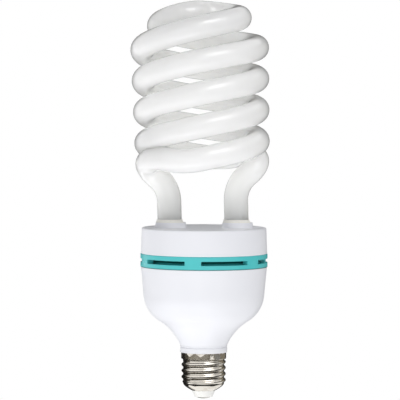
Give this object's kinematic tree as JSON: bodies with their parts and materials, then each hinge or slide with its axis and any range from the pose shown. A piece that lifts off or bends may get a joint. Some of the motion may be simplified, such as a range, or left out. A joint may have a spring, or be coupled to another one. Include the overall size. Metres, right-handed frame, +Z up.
{
  "type": "spiral compact fluorescent lamp",
  "caption": "Spiral compact fluorescent lamp: a double-helix glass tube on a white housing with a teal vent ring, a ballast inside and an E27 screw cap.",
  "frame": {"origin": "tip of the centre contact, on the axis of the screw cap", "axes": "+Z up the cap's axis towards the glass, +X towards the right leg as the picture shows it, -Y towards the camera"},
  "size_m": [0.0822, 0.0812, 0.2348],
  "materials": {
    "contact_metal": "nickel-plated brass, satin",
    "insulator": "white, semi-gloss",
    "cap_metal": "nickel-plated brass, bright",
    "housing": "moulded white, semi-gloss",
    "vent": "moulded teal, semi-gloss",
    "tube_glass": "clear glass over a white phosphor coat",
    "cement": "cream, matt",
    "board": "phenolic paper board",
    "lead_wire": "tinned wire",
    "wire_sleeve": "silicone sleeve",
    "ferrite": "dark grey, matt",
    "bobbin": "moulded black",
    "copper": "enamelled copper wire",
    "can_sleeve": "dark shrink sleeve",
    "film": "dipped red-brown resin",
    "package": "moulded black epoxy",
    "resistor": "grey-green coat",
    "thermistor": "brown resin coat"
  },
  "bodies": {
    "root": {"centre_contact": "contact_metal", "cap_insulator": "insulator", "screw_shell": "cap_metal", "lower_housing": "housing", "vent_ring": "vent", "tube_cap": "housing", "discharge_tube": "tube_glass", "left_leg_cement": "cement", "right_leg_cement": "cement", "circuit_board": "board", "filament_leads": "lead_wire", "wrap_pins": "lead_wire", "contact_lead": "wire_sleeve", "shell_lead": "wire_sleeve", "choke_core": "ferrite", "choke_bobbin": "bobbin", "choke_winding": "copper", "toroid_core": "ferrite", "toroid_winding": "copper", "bulk_capacitor": "can_sleeve", "resonant_capacitor": "film", "blocking_capacitor": "film", "filter_capacitor": "film", "filter_choke": "can_sleeve", "lower_transistor": "package", "upper_transistor": "package", "rectifier_diodes": "package", "fusible_resistor": "resistor", "ptc_thermistor": "thermistor"}
  },
  "joints": []
}
